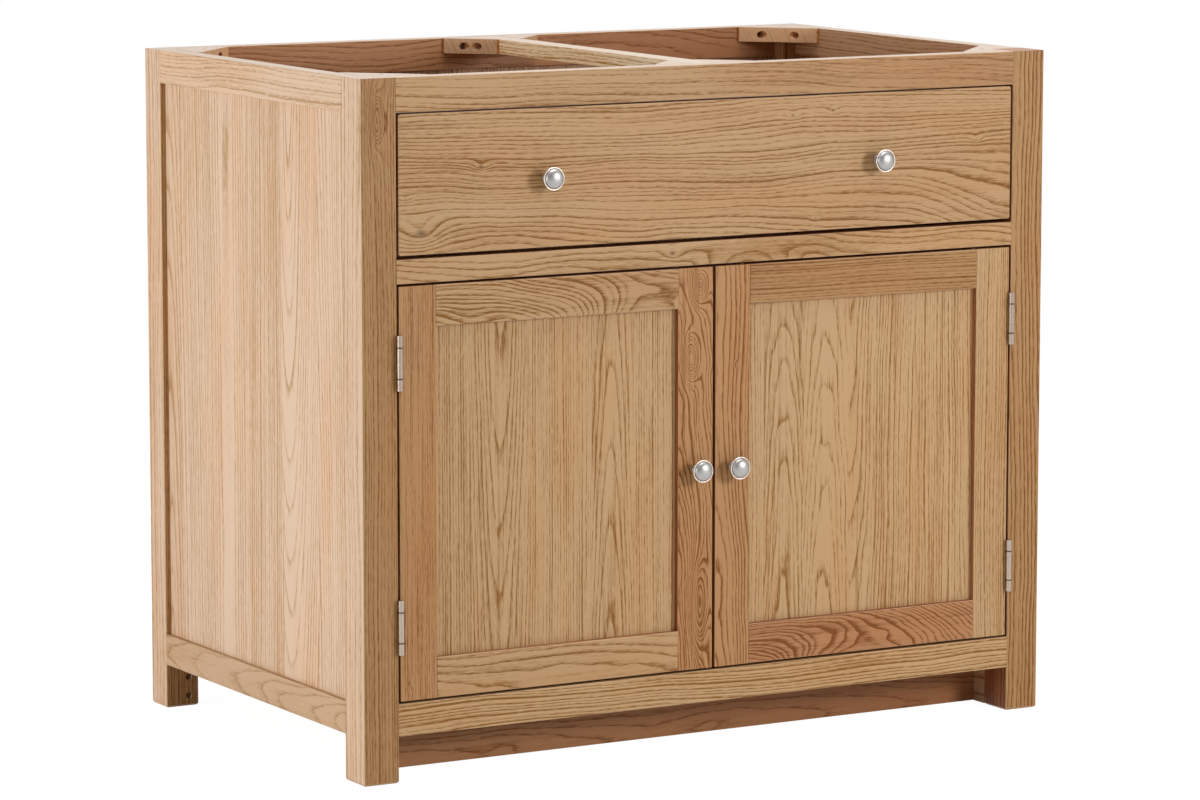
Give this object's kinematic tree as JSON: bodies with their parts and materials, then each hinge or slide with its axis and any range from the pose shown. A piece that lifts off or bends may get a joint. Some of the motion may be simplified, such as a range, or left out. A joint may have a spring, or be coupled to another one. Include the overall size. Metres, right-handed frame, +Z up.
{
  "type": "kitchen base cabinet",
  "caption": "Freestanding solid oak kitchen base cabinet with a wide top drawer, a pair of framed doors, a shelf and an open top frame for a worktop or sink.",
  "frame": {"origin": "on the floor, under the middle of the outline, knobs included", "axes": "+X to the right seen from the front, +Y from the front to the back, +Z up"},
  "size_m": [1, 0.638, 0.87],
  "materials": {
    "oak_front": "light oak, satin lacquer, golden tan",
    "oak_side": "light oak, satin lacquer, straight pale grain",
    "oak_block": "light oak, planed, lightly lacquered",
    "oak_inside": "light oak, matt, warm brown",
    "satin_nickel": "satin nickel plate",
    "zinc_steel": "bright zinc plate",
    "catch_case": "brown moulded case"
  },
  "bodies": {
    "carcass": {"front_left_post": "oak_side", "front_right_post": "oak_front", "back_left_post": "oak_side", "back_right_post": "oak_front", "front_top_rail": "oak_front", "front_mid_rail": "oak_front", "front_bottom_rail": "oak_front", "left_top_rail": "oak_side", "left_bottom_rail": "oak_side", "right_top_rail": "oak_front", "right_bottom_rail": "oak_front", "back_top_rail": "oak_inside", "back_bottom_rail": "oak_inside", "left_side_panel": "oak_side", "right_side_panel": "oak_side", "back_boards": "oak_inside", "cross_rail": "oak_block", "corner_blocks": "oak_block", "cross_rail_blocks": "oak_block", "block_screws": "zinc_steel", "cabinet_floor": "oak_front", "floor_cleats": "oak_inside", "plinth": "oak_inside", "plinth_blocks": "oak_inside", "shelf": "oak_front", "shelf_cleats": "oak_inside", "drawer_runners": "oak_inside", "runner_screws": "zinc_steel", "left_hinge_post_leaves": "satin_nickel", "left_hinge_pins": "satin_nickel", "right_hinge_post_leaves": "satin_nickel", "right_hinge_pins": "satin_nickel", "hinge_post_screws": "satin_nickel", "door_catches": "catch_case"},
    "drawer": {"drawer_front": "oak_front", "drawer_left_side": "oak_inside", "drawer_right_side": "oak_inside", "drawer_back": "oak_inside", "drawer_bottom": "oak_inside", "drawer_left_knob": "satin_nickel", "drawer_right_knob": "satin_nickel", "drawer_knob_screws": "zinc_steel"},
    "left_door": {"left_door_hinge_stile": "oak_front", "left_door_meeting_stile": "oak_front", "left_door_top_rail": "oak_front", "left_door_bottom_rail": "oak_front", "left_door_panel": "oak_front", "left_door_knob": "satin_nickel", "left_door_screws": "zinc_steel", "left_hinge_door_leaves": "satin_nickel", "left_door_strike": "zinc_steel"},
    "right_door": {"right_door_hinge_stile": "oak_front", "right_door_meeting_stile": "oak_front", "right_door_top_rail": "oak_front", "right_door_bottom_rail": "oak_front", "right_door_panel": "oak_front", "right_door_knob": "satin_nickel", "right_door_screws": "zinc_steel", "right_hinge_door_leaves": "satin_nickel", "right_door_strike": "zinc_steel"}
  },
  "joints": [
    {"name": "drawer_slide", "type": "slide", "parent": "carcass", "child": "drawer", "axis": [0, -1, 0], "range_m": [0, 0.38]},
    {"name": "left_door_hinge", "type": "hinge", "parent": "carcass", "child": "left_door", "pos_m": [-0.4505, -0.2973, 0.3585], "axis": [0, 0, -1], "range_deg": [0, 170]},
    {"name": "right_door_hinge", "type": "hinge", "parent": "carcass", "child": "right_door", "pos_m": [0.4505, -0.2973, 0.3585], "axis": [0, 0, 1], "range_deg": [0, 170]}
  ]
}
